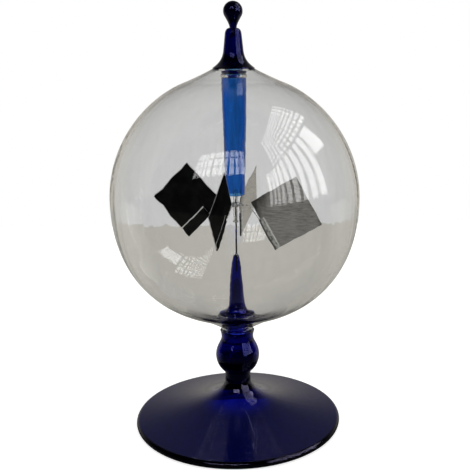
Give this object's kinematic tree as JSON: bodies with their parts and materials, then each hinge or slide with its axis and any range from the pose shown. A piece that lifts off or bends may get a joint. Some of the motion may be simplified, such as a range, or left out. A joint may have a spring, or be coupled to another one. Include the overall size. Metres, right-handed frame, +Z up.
{
  "type": "crookes radiometer",
  "caption": "Light mill: blackened and bright vanes turn on a needle inside a sealed clear glass globe, standing on a blue glass stem and round foot.",
  "frame": {"origin": "centre of the flat ring on which the foot stands", "axes": "+Z up along the needle; -Y towards the viewer of the picture, +X to the right in it"},
  "size_m": [0.12, 0.12, 0.2083],
  "materials": {
    "blue_glass": "polished cobalt",
    "clear_glass": "polished clear",
    "needle_steel": "drawn wire",
    "hub_metal": "satin",
    "wire": "drawn wire",
    "foil": "rolled, satin",
    "clip_strip": "rolled, satin",
    "soot": "lampblack"
  },
  "bodies": {
    "stand": {"foot": "blue_glass", "stem_knop": "blue_glass", "globe": "clear_glass", "lower_post": "blue_glass", "needle": "needle_steel", "needle_bead": "clear_glass", "guide_tube": "blue_glass", "seal_ring": "clear_glass", "bell": "blue_glass", "finial_drop": "blue_glass"},
    "mill": {"bearing_cup": "clear_glass", "hub": "hub_metal", "arm_1": "wire", "arm_2": "wire", "arm_3": "wire", "arm_4": "wire", "vane_1": "foil", "vane_2": "foil", "vane_3": "foil", "vane_4": "foil", "soot_coat_1": "soot", "soot_coat_2": "soot", "soot_coat_3": "soot", "soot_coat_4": "soot", "vane_clip_1": "clip_strip", "vane_clip_2": "clip_strip", "vane_clip_3": "clip_strip", "vane_clip_4": "clip_strip"}
  },
  "joints": [
    {"name": "mill_spin", "type": "hinge", "parent": "stand", "child": "mill", "pos_m": [0, 0, 0.1129], "axis": [0, 0, 1], "continuous": true}
  ]
}
